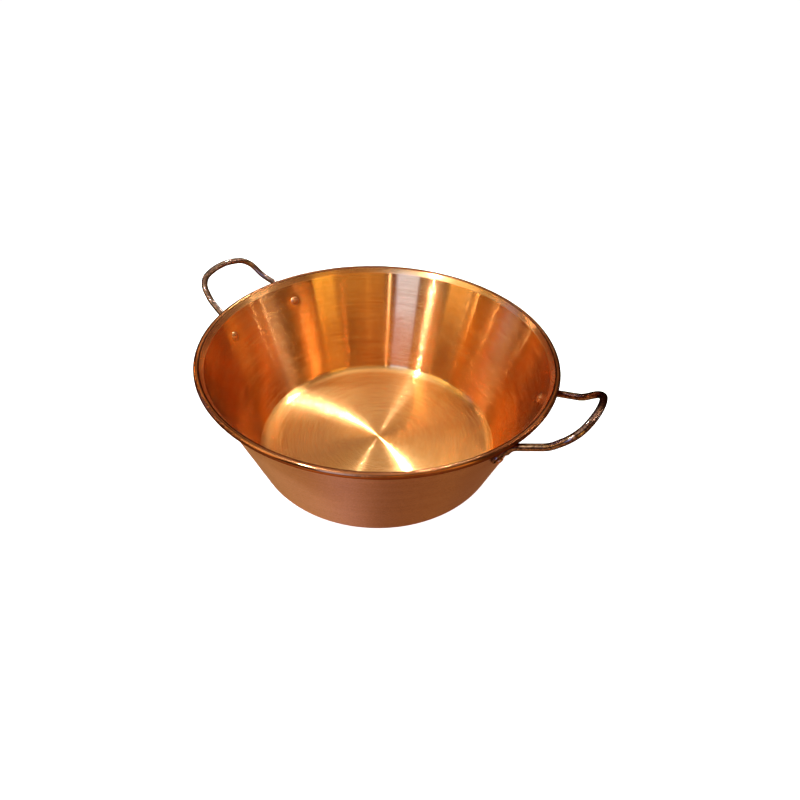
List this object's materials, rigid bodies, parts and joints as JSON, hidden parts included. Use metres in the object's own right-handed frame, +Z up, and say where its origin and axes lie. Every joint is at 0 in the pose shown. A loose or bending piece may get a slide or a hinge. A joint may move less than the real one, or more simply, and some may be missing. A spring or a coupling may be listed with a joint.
{
  "type": "jam pan",
  "caption": "Wide copper jam pan with a flat base, a leaning wall, a rim rolled round a wire and two rod handles riveted to the outside.",
  "frame": {"origin": "centre of the flat underside of the base", "axes": "+Z up along the pan's axis, +X towards the right handle, +Y towards the back"},
  "size_m": [0.4696, 0.38, 0.164],
  "materials": {
    "copper": "polished copper, finely turned inside and satin outside",
    "steel_wire": "drawn wire",
    "handle_bronze": "polished brown bronze rod",
    "rivet_copper": "hammered copper"
  },
  "bodies": {
    "root": {"bowl": "copper", "rim_wire": "steel_wire", "right_handle": "handle_bronze", "left_handle": "handle_bronze", "right_front_rivet": "rivet_copper", "right_back_rivet": "rivet_copper", "left_back_rivet": "rivet_copper", "left_front_rivet": "rivet_copper"}
  },
  "joints": []
}
